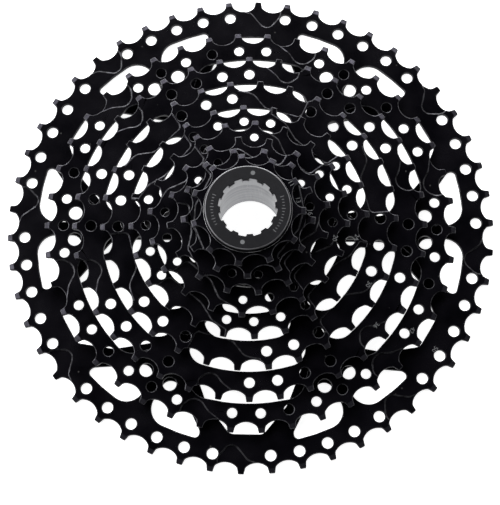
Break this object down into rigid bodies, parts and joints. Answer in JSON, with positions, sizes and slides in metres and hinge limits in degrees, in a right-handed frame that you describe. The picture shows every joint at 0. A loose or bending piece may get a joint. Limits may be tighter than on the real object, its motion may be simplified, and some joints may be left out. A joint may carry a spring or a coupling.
{
  "type": "bicycle cassette sprocket",
  "caption": "Wide-range bicycle cassette: stacked toothed wheels with spacers on a splined core, held by a notched lockring.",
  "frame": {"origin": "on the wheels' axis, at the flat back face of the largest wheel", "axes": "+Z along the axis from the largest wheel to the lockring, +X to the right and +Y up in the view from the lockring's side"},
  "size_m": [0.2036, 0.2036, 0.0397],
  "materials": {
    "wheel_steel": "satin",
    "spacer_aluminium": "satin",
    "rivet_steel": "satin",
    "bare_aluminium": "machined",
    "black_aluminium": "satin"
  },
  "bodies": {
    "core": {"splined_core": "bare_aluminium"},
    "cluster": {"sprocket_50t": "wheel_steel", "sprocket_42t": "wheel_steel", "sprocket_36t": "wheel_steel", "sprocket_30t": "wheel_steel", "sprocket_24t": "wheel_steel", "sprocket_20t": "wheel_steel", "spacer_50_42": "spacer_aluminium", "spacer_42_36": "spacer_aluminium", "spacer_36_30": "spacer_aluminium", "spacer_30_24": "spacer_aluminium", "spacer_24_20": "spacer_aluminium", "hub_rivets": "rivet_steel", "arm_rivets_50_42": "rivet_steel", "arm_rivets_42_36": "rivet_steel", "arm_rivets_36_30": "rivet_steel", "arm_rivets_30_24": "rivet_steel"},
    "spacer_below_16": {"spacer_20_16": "spacer_aluminium"},
    "wheel_16": {"sprocket_16t": "wheel_steel"},
    "spacer_below_13": {"spacer_16_13": "spacer_aluminium"},
    "wheel_13": {"sprocket_13t": "wheel_steel"},
    "wheel_11": {"sprocket_11t": "wheel_steel"},
    "washer": {"lock_washer": "black_aluminium"},
    "lockring": {"lockring": "black_aluminium"}
  },
  "joints": [
    {"name": "cluster_slide", "type": "slide", "parent": "core", "child": "cluster", "axis": [0, 0, 1], "range_m": [0, 0.037]},
    {"name": "spacer_below_16_slide", "type": "slide", "parent": "cluster", "child": "spacer_below_16", "axis": [0, 0, 1], "range_m": [0, 0.013]},
    {"name": "wheel_16_slide", "type": "slide", "parent": "spacer_below_16", "child": "wheel_16", "axis": [0, 0, 1], "range_m": [0, 0.0105]},
    {"name": "spacer_below_13_slide", "type": "slide", "parent": "wheel_16", "child": "spacer_below_13", "axis": [0, 0, 1], "range_m": [0, 0.0085]},
    {"name": "wheel_13_slide", "type": "slide", "parent": "spacer_below_13", "child": "wheel_13", "axis": [0, 0, 1], "range_m": [0, 0.006]},
    {"name": "wheel_11_slide", "type": "slide", "parent": "wheel_13", "child": "wheel_11", "axis": [0, 0, 1], "range_m": [0, 0.0045]},
    {"name": "lockring_travel", "type": "slide", "parent": "wheel_11", "child": "washer", "axis": [0, 0, 1], "range_m": [0, 0.00701]},
    {"name": "lockring_turn", "type": "hinge", "parent": "washer", "child": "lockring", "pos_m": [0, 0, 0.03722], "axis": [0, 0, 1], "range_deg": [0, 2520]}
  ],
  "couplings": [
    {"joint": "lockring_travel", "follows": "lockring_turn", "m_per_rad": 0.00015915}
  ]
}
